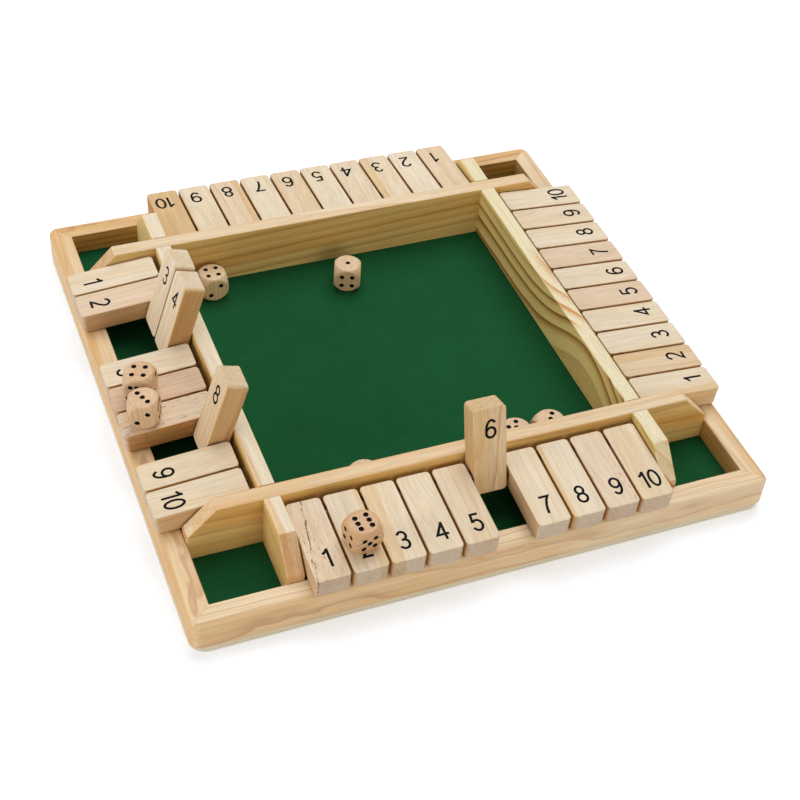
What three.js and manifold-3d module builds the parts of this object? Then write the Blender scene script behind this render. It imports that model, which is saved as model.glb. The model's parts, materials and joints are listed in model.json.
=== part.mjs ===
// A four-player shut the box: a square pine tray, ten flip tiles on a rod along each side, and eight dice.
// Millimetres, +Z up. The origin is on the table under the middle of the board, and the front side faces -Y.
import * as THREE from 'three';
import { mergeVertices } from 'three/addons/utils/BufferGeometryUtils.js';
import Module from 'manifold-3d';

// Tiles. Those that stand raised are named by side and number.
const tilesPerSide = 10;
const tileLength = 50;
const tileWidth = 18.5;
const tileThickness = 12;
const tileCornerRadius = 2.3;
const tileGap = 1.25;
const rowEndGap = 0.9;
const tileHeel = 7;
const tileOverhang = 1.1;
const tileRestTilt = 4.3;
const raisedTiles = { front: [6], left: [3, 4, 8] };

// Hinge rods: a steel rod through the tiles of one side, its ends in blind holes in the walls
const rodDiameter = 5;
const rodSeatDepth = 5;
const rodClearance = 0.3;

// Gaps round a moving tile: to the wall as its heel swings past, and to what it rests on
const swingClearance = 0.45;
const restGap = 0.3;

// Walls: four alike, halved over each other where they cross, with ends that slope down to the rail
const wallThickness = 9.1;
const wallHeight = 32.5;
const wallEndLength = 15.7;
const wallEndRise = 3.3;
const lapHeightShare = 0.5;

// Base board, floor board, felt and outer frame
const baseThickness = 3.5;
const floorThickness = 3.5;
const feltThickness = 1;
const railWidth = 12.2;
const railHeight = 17.3;
const railRoundRadius = 4;
const boardCornerRadius = 9;

// Dice: a cube with its edges and corners turned off by a ball
const dieSize = 16;
const dieBallDiameter = 21.7;

// Dice on the felt: the nearest tray corner, the die's middle in die widths in from the two walls there,
// and its turn in degrees
const diceOnFelt = [
  { name: 'die_1', corner: [-1, 1], dieWidthShares: [1.34, 0.67], turn: 1 },
  { name: 'die_2', corner: [1, 1], dieWidthShares: [6.03, 1.59], turn: -21.6 },
  { name: 'die_3', corner: [1, -1], dieWidthShares: [3.5, 0.88], turn: 25.7 },
  { name: 'die_4', corner: [1, -1], dieWidthShares: [2.2, 0.91], turn: 11 },
  { name: 'die_5', corner: [-1, -1], dieWidthShares: [3.28, 0.58], turn: 5 },
];

// Dice on flat tiles: the side and the tile, the die's middle as a share of the way from the rod to the
// tile's outer end, and its turn in degrees
const diceOnTiles = [
  { name: 'die_6', side: 'front', tile: 2, reachShare: 0.6, turn: 8 },
  { name: 'die_7', side: 'left', tile: 6, reachShare: 0.61, turn: -25 },
  { name: 'die_8', side: 'left', tile: 7, reachShare: 0.68, turn: -21.4 },
];

// Facets of round stretches, in steps per quarter turn, and the overrun of cuts
const rodQuarterSteps = 3;
const tileCornerSteps = 4;
const boardCornerSteps = 8;
const railRoundSteps = 4;
const dieBallQuarterSteps = 4;
const cutOverrun = 1;

// Worked out from the sizes above: plan
const tileReach = tileLength - tileHeel;
const halfTile = tileThickness / 2;
const tilePitch = tileWidth + tileGap;
const rowWidth = tilesPerSide * tileWidth + (tilesPerSide - 1) * tileGap;
const trayHalf = rowWidth / 2 + rowEndGap;
const wallOuter = trayHalf + wallThickness;
const restTilt = THREE.MathUtils.degToRad(tileRestTilt);
const rodOut = wallOuter + Math.hypot(tileHeel, halfTile) + swingClearance;
const tileEndOut = rodOut + tileReach * Math.cos(restTilt) + halfTile * Math.sin(restTilt);
const boardHalf = tileEndOut - tileOverhang;
const frameInner = boardHalf - railWidth;

// Heights
const floorTop = baseThickness + floorThickness;
const feltTop = floorTop + feltThickness;
const railTop = baseThickness + railHeight;
const wallTop = feltTop + wallHeight;
const wallEndTop = railTop + wallEndRise;

// A flat tile rests on the rail where the rail's rounded edge starts, which sets the height of the rod.
const rodRadius = rodDiameter / 2;
const restOut = boardHalf - railRoundRadius - rodOut;
const rodHeight = railTop + restOut * Math.tan(restTilt) + (halfTile + restGap) / Math.cos(restTilt);

// A raised tile leans back on the wall's outer top edge. The lean is measured from level, outwards.
const wallEdgeReach = Math.hypot(rodOut - wallOuter, wallTop - rodHeight);
const wallEdgeAngle = Math.atan2(rodOut - wallOuter, wallTop - rodHeight);
const leanAngle = wallEdgeAngle + Math.acos((halfTile + restGap) / wallEdgeReach);

// Materials
const pine = new THREE.MeshStandardMaterial({ color: 0xe0bf8c, roughness: 0.62, metalness: 0 });
const paleWood = new THREE.MeshStandardMaterial({ color: 0xe9d2ad, roughness: 0.6, metalness: 0 });
const rodSteel = new THREE.MeshStandardMaterial({ color: 0xc4c6c8, roughness: 0.3, metalness: 1 });
const sheetWood = new THREE.MeshStandardMaterial({ color: 0xd9d3c0, roughness: 0.8, metalness: 0 });
const greenFelt = new THREE.MeshStandardMaterial({ color: 0x1b5028, roughness: 0.95, metalness: 0 });
const dieWood = new THREE.MeshStandardMaterial({ color: 0xdcba8a, roughness: 0.55, metalness: 0 });

// Solids: a closed geometry goes in, is joined or cut, and comes back as a geometry.
const wasm = await Module();
wasm.setup();

function toSolid(geometry) {
  const bare = geometry.clone();
  bare.deleteAttribute('normal');
  bare.deleteAttribute('uv');
  const merged = mergeVertices(bare);
  const vertProperties = merged.attributes.position.array;
  const triVerts = Uint32Array.from(merged.index.array);
  return new wasm.Manifold(new wasm.Mesh({ numProp: 3, vertProperties, triVerts }));
}

function toGeometry(solid) {
  const mesh = solid.getMesh();
  const geometry = new THREE.BufferGeometry();
  geometry.setAttribute('position', new THREE.BufferAttribute(mesh.vertProperties, 3));
  geometry.setIndex(new THREE.BufferAttribute(mesh.triVerts, 1));
  geometry.computeVertexNormals();
  return geometry;
}

function cut(blank, ...tools) {
  const start = toSolid(blank);
  return toGeometry(tools.reduce((solid, tool) => solid.subtract(toSolid(tool)), start));
}

// A rectangle in plan with rounded corners, centred on the origin
function roundedRectangle(halfX, halfY, radius) {
  const shape = new THREE.Shape();
  const quarter = Math.PI / 2;
  const corners = [[1, 1], [-1, 1], [-1, -1], [1, -1]];
  corners.forEach(([signX, signY], index) => {
    const centreX = signX * (halfX - radius);
    const centreY = signY * (halfY - radius);
    shape.absarc(centreX, centreY, radius, index * quarter, (index + 1) * quarter, false);
  });
  return shape;
}

// A square slab round the Z axis, from one height to another
function squareSlab(half, bottom, top) {
  const slab = new THREE.BoxGeometry(2 * half, 2 * half, top - bottom);
  return slab.translate(0, 0, (bottom + top) / 2);
}

// A round bar along X
function barAlongX(radius, length) {
  const bar = new THREE.CylinderGeometry(radius, radius, length, 4 * rodQuarterSteps);
  return bar.rotateZ(Math.PI / 2);
}

// The base board: a thin sheet with rounded corners, under everything
function baseGeometry() {
  const outline = roundedRectangle(boardHalf, boardHalf, boardCornerRadius);
  const curveSegments = boardCornerSteps / 2;
  return new THREE.ExtrudeGeometry(outline, { depth: baseThickness, bevelEnabled: false, curveSegments });
}

// The frame: four mitred rails glued into one ring on the base board, with rounded corners and a rounded
// outer top edge
function frameGeometry() {
  const outline = roundedRectangle(boardHalf, boardHalf, boardCornerRadius);
  const blank = new THREE.ExtrudeGeometry(outline, {
    depth: railTop,
    bevelThickness: railRoundRadius,
    bevelSize: railRoundRadius,
    bevelOffset: -railRoundRadius,
    bevelSegments: railRoundSteps,
    curveSegments: boardCornerSteps / 2,
  });
  blank.translate(0, 0, -railRoundRadius);
  const below = -2 * railRoundRadius - cutOverrun;
  const foot = squareSlab(boardHalf + cutOverrun, below, baseThickness);
  const inside = squareSlab(frameInner, below, railTop + cutOverrun);
  return cut(blank, foot, inside);
}

// A wall stands on the felt along X at the front, between the rails. Where it crosses its neighbours it is
// notched half its height, from below or from above, and its outer part holds two rod ends.
function wallGeometry(notchedBelow) {
  const flatEnd = frameInner - wallEndLength;
  const lapHeight = feltTop + wallHeight * lapHeightShare;
  const notches = (rim) => [[-wallOuter, -trayHalf], [trayHalf, wallOuter]].flatMap(([near, far]) => (
    [[near, rim], [near, lapHeight], [far, lapHeight], [far, rim]]
  ));
  const points = [
    [-frameInner, feltTop],
    ...(notchedBelow ? notches(feltTop) : []),
    [frameInner, feltTop],
    [frameInner, wallEndTop],
    [flatEnd, wallTop],
    ...(notchedBelow ? [] : notches(wallTop).reverse()),
    [-flatEnd, wallTop],
    [-frameInner, wallEndTop],
  ];
  const outline = new THREE.Shape(points.map(([along, up]) => new THREE.Vector2(along, up)));
  const blank = new THREE.ExtrudeGeometry(outline, { depth: wallThickness, bevelEnabled: false });
  blank.rotateX(Math.PI / 2).translate(0, -trayHalf, 0);
  const seatLength = rodSeatDepth + cutOverrun;
  const seats = [-rodOut, rodOut].map((along) => {
    const seat = barAlongX(rodRadius + rodClearance, seatLength).rotateZ(Math.PI / 2);
    return seat.translate(along, seatLength / 2 - trayHalf - rodSeatDepth, rodHeight);
  });
  return cut(blank, ...seats);
}

function rodGeometry() {
  return barAlongX(rodRadius, 2 * (trayHalf + rodSeatDepth - rodClearance));
}

// A tile with its rod on the local X axis and its outer end towards -Y
function tileGeometry() {
  const outline = roundedRectangle(tileWidth / 2, tileLength / 2, tileCornerRadius);
  const curveSegments = tileCornerSteps / 2;
  const blank = new THREE.ExtrudeGeometry(outline, { depth: tileThickness, bevelEnabled: false, curveSegments });
  blank.translate(0, tileHeel - tileLength / 2, -halfTile);
  return cut(blank, barAlongX(rodRadius + rodClearance, tileWidth + 2 * cutOverrun));
}

function dieGeometry() {
  const cube = new THREE.BoxGeometry(dieSize, dieSize, dieSize);
  const ball = new THREE.SphereGeometry(dieBallDiameter / 2, 4 * dieBallQuarterSteps, 4 * dieBallQuarterSteps);
  return toGeometry(toSolid(cube).intersect(toSolid(ball)));
}

function named(name, geometry, material) {
  const mesh = new THREE.Mesh(geometry, material);
  mesh.name = name;
  return mesh;
}

// A row of tiles on its rod, built at the front, with the dice that lie on them
function buildRow(side, tileShape, dieShape) {
  const row = new THREE.Group();
  row.position.set(0, -rodOut, rodHeight);
  row.add(named(`hinge_rod_${side}`, rodGeometry(), rodSteel));
  for (let number = 1; number <= tilesPerSide; number += 1) {
    const raised = (raisedTiles[side] ?? []).includes(number);
    const hinge = new THREE.Group();
    hinge.position.x = (number - (tilesPerSide + 1) / 2) * tilePitch;
    hinge.rotation.x = raised ? -leanAngle : restTilt;
    hinge.add(named(`tile_${side}_${number}`, tileShape, paleWood));
    for (const die of diceOnTiles.filter((entry) => entry.side === side && entry.tile === number)) {
      const mesh = named(die.name, dieShape, dieWood);
      mesh.position.set(0, -tileReach * die.reachShare, halfTile + restGap + dieSize / 2);
      mesh.rotation.z = THREE.MathUtils.degToRad(die.turn);
      hinge.add(mesh);
    }
    row.add(hinge);
  }
  return row;
}

const game = new THREE.Group();
game.add(named('base_board', baseGeometry(), sheetWood));
game.add(named('floor_board', squareSlab(frameInner, baseThickness, floorTop), sheetWood));
game.add(named('felt_lining', squareSlab(frameInner, floorTop, feltTop), greenFelt));
game.add(named('outer_frame', frameGeometry(), pine));

// The four sides, each a quarter turn on from the last. The front and rear walls lie over the other two.
const tileShape = tileGeometry();
const dieShape = dieGeometry();
['front', 'right', 'rear', 'left'].forEach((side, index) => {
  const group = new THREE.Group();
  const notchedBelow = side === 'front' || side === 'rear';
  group.add(named(`wall_${side}`, wallGeometry(notchedBelow), pine));
  group.add(buildRow(side, tileShape, dieShape));
  group.rotation.z = index * Math.PI / 2;
  game.add(group);
});

for (const die of diceOnFelt) {
  const mesh = named(die.name, dieShape, dieWood);
  const [x, y] = die.corner.map((sign, axis) => sign * (trayHalf - die.dieWidthShares[axis] * dieSize));
  mesh.position.set(x, y, feltTop + dieSize / 2);
  mesh.rotation.z = THREE.MathUtils.degToRad(die.turn);
  game.add(mesh);
}

export default game;
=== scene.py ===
"""A four-player shut the box game, dressed piece by piece round its CAD frame."""
import json
import math
import random
from functools import partial

import bmesh
import bpy
import numpy as np
from bpy.props import FloatProperty, FloatVectorProperty, PointerProperty
from mathutils import Matrix, Vector, noise


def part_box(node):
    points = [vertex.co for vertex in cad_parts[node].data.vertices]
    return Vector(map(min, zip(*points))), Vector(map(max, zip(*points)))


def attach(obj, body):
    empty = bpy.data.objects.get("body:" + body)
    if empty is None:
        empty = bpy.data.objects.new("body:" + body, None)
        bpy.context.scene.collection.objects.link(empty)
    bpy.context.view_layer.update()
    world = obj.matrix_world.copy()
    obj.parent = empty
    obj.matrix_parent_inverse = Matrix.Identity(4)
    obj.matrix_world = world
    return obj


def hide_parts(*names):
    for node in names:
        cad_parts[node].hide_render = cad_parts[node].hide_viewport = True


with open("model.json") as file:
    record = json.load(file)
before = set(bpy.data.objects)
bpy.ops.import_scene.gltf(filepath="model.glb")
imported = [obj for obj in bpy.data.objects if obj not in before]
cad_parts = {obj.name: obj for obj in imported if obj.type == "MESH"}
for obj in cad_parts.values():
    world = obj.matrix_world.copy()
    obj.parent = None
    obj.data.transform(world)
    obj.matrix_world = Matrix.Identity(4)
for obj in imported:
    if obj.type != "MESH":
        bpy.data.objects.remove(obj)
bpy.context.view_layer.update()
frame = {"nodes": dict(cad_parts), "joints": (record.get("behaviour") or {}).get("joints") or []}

bl_info = {
    "name": "Four-player shut the box",
    "version": (1, 0, 0),
    "blender": (4, 5, 0),
    "location": "3D View > Sidebar > Shut the Box",
    "description": "Builds a wooden shut the box game with flip tiles, felt and dice round its CAD frame",
    "category": "Add Mesh",
}

MM = 0.001
SIDES = ("front", "right", "rear", "left")

# What the CAD says, in metres
FRAME_LOW, FRAME_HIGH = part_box("outer_frame")
FLOOR_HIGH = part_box("floor_board")[1]
FELT_LOW, FELT_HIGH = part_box("felt_lining")
WALL_LOW, WALL_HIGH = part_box("wall_front")
ROD_LOW, ROD_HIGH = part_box("hinge_rod_front")
ROD_RADIUS = (ROD_HIGH.z - ROD_LOW.z) / 2
ROD_MIDDLE = (ROD_LOW + ROD_HIGH) / 2
# Room left round a rod in its holes
ROD_PLAY = 0.3 * MM


def linear(code):
    """An sRGB hex colour as linear red, green and blue."""
    shares = [int(code[i:i + 2], 16) / 255 for i in (0, 2, 4)]
    return tuple(s / 12.92 if s <= 0.04045 else ((s + 0.055) / 1.055) ** 2.4 for s in shares)


def length(name, description, millimetres):
    """A size that the user can change, in metres inside Blender."""
    return FloatProperty(name=name, description=description, default=millimetres * MM, min=0, unit="LENGTH",
                         precision=4)


def power(name, description, watts):
    """A lamp's power that the user can change."""
    return FloatProperty(name=name, description=description, default=watts, min=0, unit="POWER")


def colour(name, description, code):
    """A colour that the user can change, given as sRGB hex."""
    return FloatVectorProperty(name=name, description=description, default=linear(code), min=0, max=1, size=3,
                               subtype="COLOR")


class BoardSizes(bpy.types.PropertyGroup):
    """Sizes of the fixed parts that the CAD leaves plain."""
    arris: length("Eased arris", "Radius sanded onto the edges of rails and walls", 0.8)
    sheet_arris: length("Sheet arris", "Radius sanded onto the base board's edges", 0.4)
    outer_round: length("Rail round", "Radius along the rails' outer top edge", 3)
    corner_round: length("Rail corner", "Radius of the rails' corners in plan", 5.5)
    foot_chamfer: length("Rail foot", "Chamfer along the rails' outer bottom edge", 0.3)
    sheet_corner: length("Sheet corner", "Radius of the base board's corners in plan", 9)
    mitre_gap: length("Mitre gap", "Hairline left open between two rails", 0.08)
    slope_crest: length("Slope crest", "Radius where a wall's top turns down into its slope", 1.5)
    slope_foot: length("Slope foot", "Radius where a wall's slope meets its end", 2.6)
    rod_chamfer: length("Rod chamfer", "Chamfer turned onto the ends of a hinge rod", 0.5)
    felt_rise: length("Felt unevenness", "Height of the slow waves in the felt", 0.05)


class TileSizes(bpy.types.PropertyGroup):
    """Sizes on the flip tiles."""
    arris: length("Eased arris", "Radius sanded onto a tile's long edges", 0.6)
    corner: length("Corner", "Radius of a tile's corners in plan", 2.3)
    countersink: length("Countersink", "How far the mouths of a tile's bore are widened", 3.2)
    sink_depth: length("Countersink depth", "How deep the widened mouths go into the tile's sides", 1.6)
    numeral_height: length("Numeral height", "Height of the printed numerals", 11.2)
    numeral_stroke: length("Numeral stroke", "Width of the numerals' strokes", 1.42)
    ink_film: length("Ink film", "Thickness of the print above the wood", 0.04)
    upper_reach: length("Numeral reach, top", "From the rod to the middle of the top numeral", 30.4)
    under_reach: length("Numeral reach, underside", "From the rod to the middle of the lower numeral", 30.5)
    numeral_aside: length("Numeral aside", "How far the print sits beside the tile's middle", 0.8)


class DiceSizes(bpy.types.PropertyGroup):
    """Sizes on the dice."""
    pip: length("Pip", "Diameter of a pip at the face", 2.8)
    pip_spacing: length("Pip spacing", "From the middle of a face to an outer pip, along one edge", 3.05)
    pip_depth: length("Pip depth", "Depth of a drilled pip", 0.6)
    tumble: length("Tumbling", "Softness of the edge between a flat face and the ball", 0.45)


class Colours(bpy.types.PropertyGroup):
    """Colours of the woods, felt, metal and ink."""
    tile_pale: colour("Tile, pale", "Sapwood of the palest tiles", "ECDCC0")
    tile_warm: colour("Tile, warm", "Heartwood of the tiles", "DBB067")
    tile_tint: colour("Tile, tint", "Pinkish wood of some tiles", "DFBD9F")
    tile_line: colour("Tile, growth line", "Late wood in the tiles", "C08A58")
    rail_pale: colour("Rail, pale", "Sapwood of the rails", "EFD8B2")
    rail_warm: colour("Rail, warm", "Heartwood of the rails", "DFAF6C")
    rail_line: colour("Rail, growth line", "Late wood of the rails", "A9683A")
    wall_pale: colour("Wall, pale", "Sapwood of the walls", "EDDEC0")
    wall_warm: colour("Wall, warm", "Heartwood of the walls", "DFAC62")
    wall_tint: colour("Wall, tint", "Yellowish sapwood of the right wall", "EBDFB2")
    wall_line: colour("Wall, growth line", "Late wood of the walls", "D28C3C")
    dice_pale: colour("Dice, pale", "Early wood of the dice", "E6C9A3")
    dice_warm: colour("Dice, warm", "Warmer wood of the dice", "D3A87B")
    dice_line: colour("Dice, growth line", "Late wood of the dice", "B98A5E")
    resin_fleck: colour("Resin fleck", "Flecks of resin in some tiles", "8E5B38")
    resin_streak: colour("Resin streak", "Streak of resin across one tile", "74452C")
    sheet: colour("Sheet", "Face of the base and floor boards", "EAE1C9")
    sheet_core: colour("Sheet, core", "Cross layers in the sheet's edge", "BFAE88")
    felt: colour("Felt", "Dyed felt", "1B5631")
    felt_lint: colour("Felt, lint", "Paler fibres on the felt", "377A4E")
    steel: colour("Steel", "Bright drawn steel", "C9CACB")
    ink: colour("Ink", "Printed numerals and painted pips", "0B0A09")
    paper: colour("Paper", "White paper under the board", "E9F0FA")


class StageSettings(bpy.types.PropertyGroup):
    """Light and background."""
    sky: FloatProperty(name="Sky", description="Strength of the even light all round", default=0.3, min=0)
    key: power("High softbox", "Power of the high softbox behind the right corner", 39.5)
    front: power("Front fill", "Power of the low warm softbox in front", 7.2)
    left: power("Left fill", "Power of the low softbox at the left", 11)


def feed(node, inputs):
    """Gives each of these inputs of a node its value, or links it to the output given."""
    for key, value in inputs.items():
        socket = node.inputs[key]
        if isinstance(value, bpy.types.NodeSocket):
            node.id_data.links.new(value, socket)
        elif socket.type == "RGBA":
            socket.default_value = (*value[:3], 1)
        else:
            socket.default_value = value


def add_node(tree, kind, *values, out=None, **settings):
    """Adds a shader node. The values feed its inputs in order, leaving out those that the settings turn off.
    Returns the output with the name given, or else the first that is on."""
    node = tree.nodes.new("ShaderNode" + kind)
    for key, value in settings.items():
        setattr(node, key, value)
    shown = [index for index, socket in enumerate(node.inputs) if socket.enabled]
    feed(node, dict(zip(shown, values)))
    return node.outputs[out] if out else next(socket for socket in node.outputs if socket.enabled)


def new_material(name):
    """A material with a Principled shader. Returns the material, what adds nodes to it, and the shader."""
    material = bpy.data.materials.new(name)
    material.use_nodes = True
    return material, partial(add_node, material.node_tree), material.node_tree.nodes["Principled BSDF"]


def set_stops(ramp, stops):
    """Gives a colour ramp its grey stops, as (place, grey)."""
    elements = ramp.color_ramp.elements
    while len(elements) < len(stops):
        elements.new(0.5)
    for element, (place, grey) in zip(elements, stops):
        element.position = place
        element.color = (grey, grey, grey, 1)


# A year's growth as (share of the year, darkness): pale and even, then a thin dark line with a sharp end
YEAR = ((0, 0), (0.64, 0.06), (0.84, 0.36), (0.95, 1), (1, 0))
# The same in wide-ringed wood, where the late wood darkens sooner
WIDE_YEAR = ((0, 0), (0.4, 0.05), (0.66, 0.35), (0.86, 0.8), (0.95, 1), (1, 0))
# Noise in solid wood: turns per millimetre along the fibres and across them, detail and roughness
WOOD_NOISE = {
    "wander": (0.011, 0.045, 3, 0.5),
    "patches": (0.008, 0.11, 2, 0.5),
    "streaks": (0.018, 0.75, 2, 0.5),
    "fibres": (0.05, 2, 3, 0.65),
    "flecks": (0.22, 1.7, 0, 0.5),
    "jags": (0.13, 0.4, 3, 0.5),
    "breaks": (0.3, 0.3, 1, 0.5),
    "pores": (0, 2.2, 2, 0.5),
}
# Where the sum of the streaks and the fibres has its low and its high end
THREADS = (0.7, 1.3)


def make_wood(name, pieces, flank, ring_mm, wander_mm, roughness, year_stops=YEAR, end_tint=(1, 0.95, 0.95)):
    """Solid timber in three dimensions: growth rings round a pith, fibres along it, heartwood, resin flecks
    and greyer end grain. It reads the places and looks that give_grain wrote on the mesh, so a ring on top
    goes on down the side. It takes the colours of the pieces named. flank paints shade on the long
    sides, warmer and darker with darker growth lines, and end_tint colours the cut ends."""
    colours = bpy.context.scene.game_colours
    pale, warm, line = (getattr(colours, f"{pieces}_{tone}") for tone in ("pale", "warm", "line"))
    tint = getattr(colours, f"{pieces}_tint", warm)
    material, add, surface = new_material(name)
    vectors, numbers = ("grain", "look", "marks"), ("end_grain", "flank", "streak")
    grain, look, marks = (add("Attribute", attribute_name=key, out="Vector") for key in vectors)
    end, side, streak = (add("Attribute", attribute_name=key, out="Fac") for key in numbers)
    warmth, tinting, strength = add("SeparateXYZ", look).node.outputs
    heart_depth, flecks, years = add("SeparateXYZ", marks).node.outputs
    # Noise lies mostly between 0.3 and 0.7. A map range turns its first two numbers into its last two.
    cloud = {}
    for key, (along, across, detail, grit) in WOOD_NOISE.items():
        stretched = add("VectorMath", grain, (along, across, across), operation="MULTIPLY")
        cloud[key] = add("TexNoise", stretched, 1, detail, grit)

    # Rings: distance from the pith, which wanders along the log. Some years leave a darker line.
    radius = add("VectorMath", grain, (0, 1, 1), operation="MULTIPLY")
    radius = add("VectorMath", radius, operation="LENGTH")
    radius = add("Math", cloud["wander"], wander_mm, radius, operation="MULTIPLY_ADD")
    ring = add("Math", radius, ring_mm, operation="DIVIDE")
    year = add("Math", ring, operation="FLOOR")
    year = add("Math", year, years, operation="ADD")
    year = add("TexWhiteNoise", year, noise_dimensions="1D")
    year = add("MapRange", year, 0, 1, 0.15, 1)
    share = add("Math", ring, operation="FRACT")
    late = add("ValToRGB", share)
    set_stops(late.node, year_stops)
    late = add("Math", late, year, operation="MULTIPLY")
    late = add("Math", late, strength, operation="MULTIPLY", use_clamp=True)

    # Warmth: broad patches, and heartwood inside a border that wanders a little and fades deeper in
    spread = add("MapRange", cloud["patches"], 0.3, 0.7, -0.14, 0.2)
    depth = add("Math", cloud["wander"], 6, heart_depth, operation="MULTIPLY_ADD")
    inward = add("MapRange", depth, 7, 24, 1, 0.3)
    heart = add("MapRange", depth, 2.2, 3.8, 0, 0.42, interpolation_type="SMOOTHSTEP")
    heart = add("Math", heart, inward, operation="MULTIPLY")
    warmth = add("Math", warmth, spread, operation="ADD")
    warmth = add("Math", warmth, heart, operation="ADD", use_clamp=True)

    # Early wood and growth lines, shaded by streaks of about 1.3 mm and fibres of about 0.5 mm
    threads = add("Math", cloud["streaks"], cloud["fibres"], operation="ADD")
    shade = add("MapRange", threads, *THREADS, 0.86, 1.07)
    wood = add("Mix", warmth, pale, warm, data_type="RGBA")
    wood = add("Mix", tinting, wood, tint, data_type="RGBA")
    wood = add("Mix", late, wood, line, data_type="RGBA")
    wood = add("VectorMath", wood, shade, operation="SCALE")

    # Flecks of resin, which crowd together in patches
    fleck = add("MapRange", cloud["flecks"], 0.71, 0.76)
    crowd = add("MapRange", cloud["patches"], 0.45, 0.55)
    fleck = add("Math", fleck, crowd, operation="MULTIPLY")
    fleck = add("Math", fleck, flecks, operation="MULTIPLY", use_clamp=True)
    wood = add("Mix", fleck, wood, colours.resin_fleck, data_type="RGBA")

    # A jagged and broken streak of resin, half a millimetre to each side of its own line
    streak = add("Math", cloud["jags"], 3, streak, operation="MULTIPLY_ADD")
    streak = add("Math", streak, 1.5, operation="SUBTRACT")
    streak = add("Math", streak, operation="ABSOLUTE")
    streak = add("MapRange", streak, 0.15, 0.6, 1, 0)
    broken = add("MapRange", cloud["breaks"], 0.42, 0.52, 0.15, 1)
    streak = add("Math", streak, broken, operation="MULTIPLY")
    wood = add("Mix", streak, wood, colours.resin_streak, data_type="RGBA")

    # Painted shade on the long sides: warmer and darker, with darker lines. Cut ends with open pores
    darker = add("MapRange", late, 0, 1, 1, 0.4)
    side_in_shade = add("VectorMath", wood, flank, operation="MULTIPLY")
    side_in_shade = add("VectorMath", side_in_shade, darker, operation="SCALE")
    wood = add("Mix", side, wood, side_in_shade, data_type="RGBA")
    pores = add("MapRange", cloud["pores"], 0.3, 0.7, 0.63, 0.81)
    cut = add("VectorMath", wood, end_tint, operation="MULTIPLY")
    cut = add("VectorMath", cut, pores, operation="SCALE")
    wood = add("Mix", end, wood, cut, data_type="RGBA")

    # Finish: late wood stands slightly proud, and the fibres break up the shine
    gloss = add("MapRange", threads, *THREADS, roughness + 0.08, roughness - 0.06)
    height = add("Math", late, 0.4, threads, operation="MULTIPLY_ADD")
    bump = add("Bump")
    feed(bump.node, {"Height": height, "Strength": 0.35, "Distance": 0.12 * MM})
    feed(surface, {"Base Color": wood, "Roughness": gloss, "Normal": bump, "IOR": 1.5,
                   "Specular IOR Level": 0.4})
    return material


def sanded_pine():
    """Pine tiles, sanded bare: pale, dry and soft-edged, with quiet growth lines and greyer end grain. Their
    long sides are painted warmer and darker, as painted shade for the narrow gaps between the tiles."""
    return make_wood("sanded_pine", "tile", flank=(0.7, 0.5, 0.27), ring_mm=4.2, wander_mm=9, roughness=0.62)


def planed_pine():
    """Pine rails, planed and thinly lacquered: orange-brown growth lines along each one, and a low sheen."""
    return make_wood("planed_pine", "rail", flank=(0.95, 0.82, 0.58), ring_mm=3.7, wander_mm=9, roughness=0.5)


def planed_wall_pine():
    """Pine walls, planed from wider boards: pale tops, faces painted warmer and darker as shade, and bold
    curved growth lines.
    """
    return make_wood("planed_wall_pine", "wall", flank=(0.97, 0.86, 0.5), ring_mm=6, wander_mm=4,
                     roughness=0.55, year_stops=WIDE_YEAR, end_tint=(1.1, 0.86, 0.64))


def tumbled_birch():
    """Birch dice, tumbled and waxed: close, faint rings and a smooth low shine."""
    return make_wood("tumbled_birch", "dice", flank=(1, 1, 1), ring_mm=2.6, wander_mm=4, roughness=0.45)


def rotary_ply():
    """Thin plywood, peeled and pressed: a pale greenish face with long fibres, and layers in its edge."""
    colours = bpy.context.scene.game_colours
    material, add, surface = new_material("rotary_ply")
    place = add("TexCoord", out="Object")
    # Object coordinates are in metres, and the numbers below turn them into fibre widths of about 1 mm.
    fibre = add("VectorMath", place, (30, 900, 900), operation="MULTIPLY")
    fibre = add("TexNoise", fibre, 1, 4)
    fibre = add("MapRange", fibre, 0.3, 0.7, 0.9, 1.05)
    # The edge shows layers of 1.17 mm, with a thin dark one where two of them meet.
    height = add("SeparateXYZ", place, out="Z")
    layer = add("Math", height, 1.17 * MM, operation="DIVIDE")
    layer = add("Math", layer, operation="FRACT")
    layer = add("ValToRGB", layer)
    set_stops(layer.node, ((0, 0.75), (0.08, 0.1), (0.85, 0), (1, 0.6)))
    edge = add("Attribute", attribute_name="edge", out="Fac")
    core = add("Math", layer, edge, operation="MULTIPLY")
    wood = add("Mix", core, colours.sheet, colours.sheet_core, data_type="RGBA")
    wood = add("VectorMath", wood, fibre, operation="SCALE")
    bump = add("Bump")
    feed(bump.node, {"Height": fibre, "Strength": 0.3, "Distance": 0.1 * MM})
    feed(surface, {"Base Color": wood, "Normal": bump, "Roughness": 0.7})
    return material


def needled_felt():
    """Wool-mix felt, needled and pressed: deep green, dead matt, faintly mottled, with paler loose fibres."""
    colours = bpy.context.scene.game_colours
    material, add, surface = new_material("needled_felt")
    place = add("TexCoord", out="Object")
    # Real fibres are 0.03 mm thick. They are drawn as tufts of about 0.7 mm, which is as fine as shows.
    tuft = add("TexNoise", place, 1400, 3, 0.7)
    mottle = add("TexNoise", place, 45, 3)
    hair = add("TexNoise", place, 420, 1)
    feed(hair.node, {"Distortion": 2.5})
    hair = add("MapRange", hair, 0.7, 0.78, 0, 0.5)
    shade = add("Math", mottle, 0.3, tuft, operation="MULTIPLY_ADD")
    shade = add("MapRange", shade, 0.4, 0.9, 0.78, 1.2)
    cloth = add("Mix", hair, colours.felt, colours.felt_lint, data_type="RGBA")
    cloth = add("VectorMath", cloth, shade, operation="SCALE")
    bump = add("Bump")
    feed(bump.node, {"Height": tuft, "Strength": 0.6, "Distance": 0.3 * MM})
    feed(surface, {"Base Color": cloth, "Normal": bump, "Roughness": 0.95, "Specular IOR Level": 0.05})
    return material


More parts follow.
